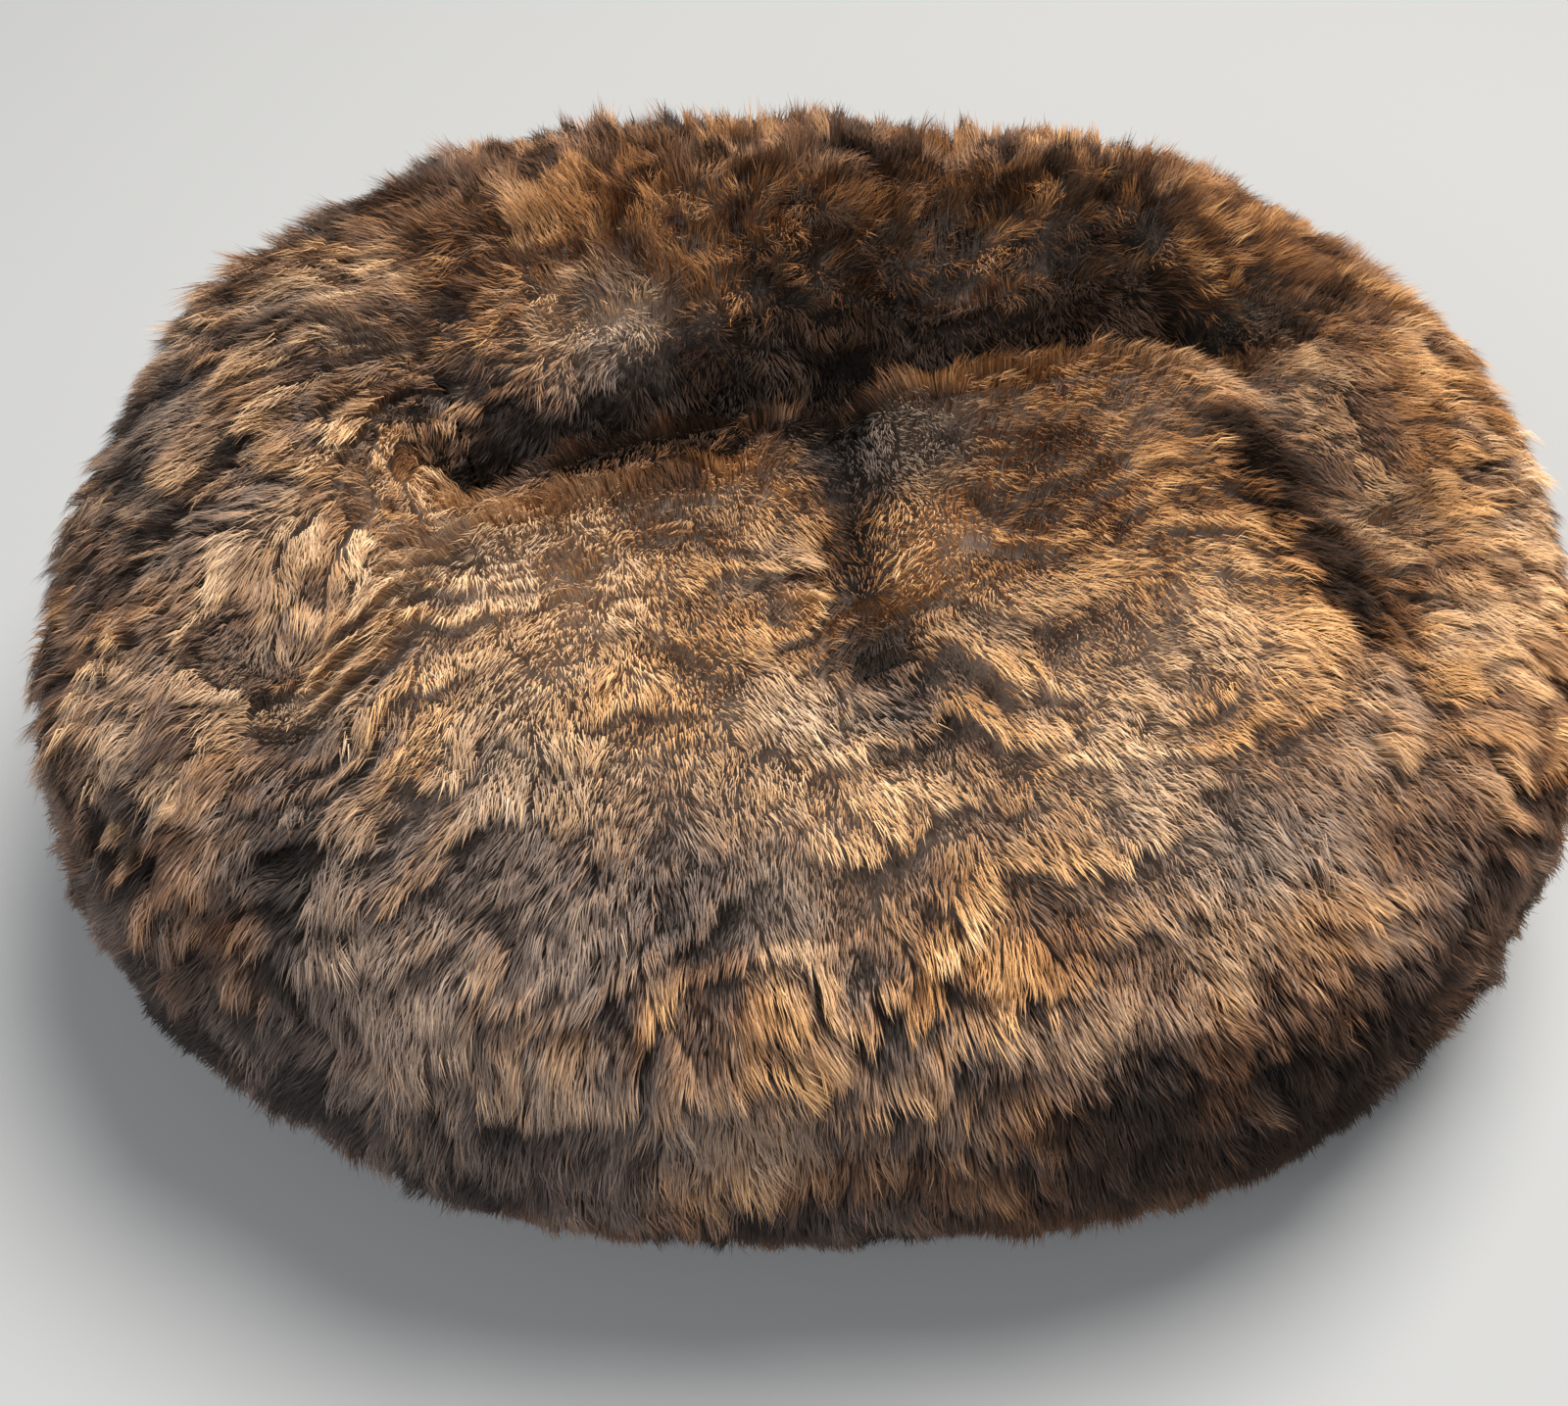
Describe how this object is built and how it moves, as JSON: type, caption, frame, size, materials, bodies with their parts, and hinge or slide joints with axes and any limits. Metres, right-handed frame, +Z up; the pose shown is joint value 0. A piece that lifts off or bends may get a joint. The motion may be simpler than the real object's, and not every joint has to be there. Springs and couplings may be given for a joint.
{
  "type": "fur hat",
  "caption": "Soft puffy fur hat with a lengthwise crease pressed into its crown, sewn from fur panels over a turned-under side band, open below for a head.",
  "frame": {"origin": "middle of the resting rim, on the surface the hat stands on", "axes": "+X along the crown's length, which is the wearer's front to back, +Y across it to the far side of the crease, +Z up through the crown"},
  "size_m": [0.2998, 0.2454, 0.1186],
  "materials": {
    "fur_near": "deep golden-tan fur with darker roots",
    "fur_far": "deep reddish dark-brown fur",
    "fur_left": "deep streaked taupe and beige fur",
    "fur_right": "deep golden-tan fur with brown streaks",
    "fur_band": "deep dark grey-brown fur",
    "skin_side": "matt suede skin side of the pelts"
  },
  "bodies": {
    "root": {"crown_near": "fur_near", "crown_far": "fur_far", "crown_left": "fur_left", "crown_right": "fur_right", "side_band": "fur_band"}
  },
  "joints": []
}
